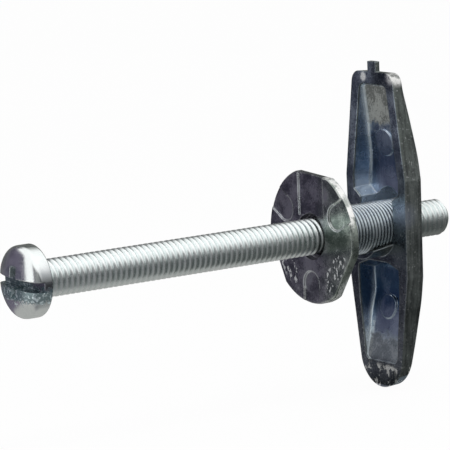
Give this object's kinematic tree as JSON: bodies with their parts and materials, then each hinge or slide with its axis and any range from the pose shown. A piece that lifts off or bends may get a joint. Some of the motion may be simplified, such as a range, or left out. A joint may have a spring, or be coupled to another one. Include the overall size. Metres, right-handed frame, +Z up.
{
  "type": "tilt toggle anchor",
  "caption": "Hollow-wall anchor: a long pan-head machine screw through a flanged threaded sleeve, with a tilting toggle bar behind the wall.",
  "frame": {"origin": "on the screw axis, in the face of the flange that seats on the wall", "axes": "+X along the screw from its head to its tip, into the wall; +Z up along the toggle bar as it stands across the sleeve"},
  "size_m": [0.0837, 0.022, 0.0539],
  "materials": {
    "screw_zinc": "bright zinc plating",
    "sleeve_casting": "as-cast zinc alloy",
    "toggle_casting": "as-cast zinc alloy, dark"
  },
  "bodies": {
    "sleeve": {"flanged_sleeve": "sleeve_casting"},
    "screw": {"machine_screw": "screw_zinc"},
    "toggle": {"toggle_bar": "toggle_casting"}
  },
  "joints": [
    {"name": "screw_travel", "type": "slide", "parent": "sleeve", "child": "screw", "axis": [1, 0, 0], "range_m": [-0.0234, 0.0528]},
    {"name": "toggle_tilt", "type": "hinge", "parent": "sleeve", "child": "toggle", "pos_m": [0.0148, 0, 0], "axis": [0, -1, 0], "range_deg": [0, 45]}
  ]
}
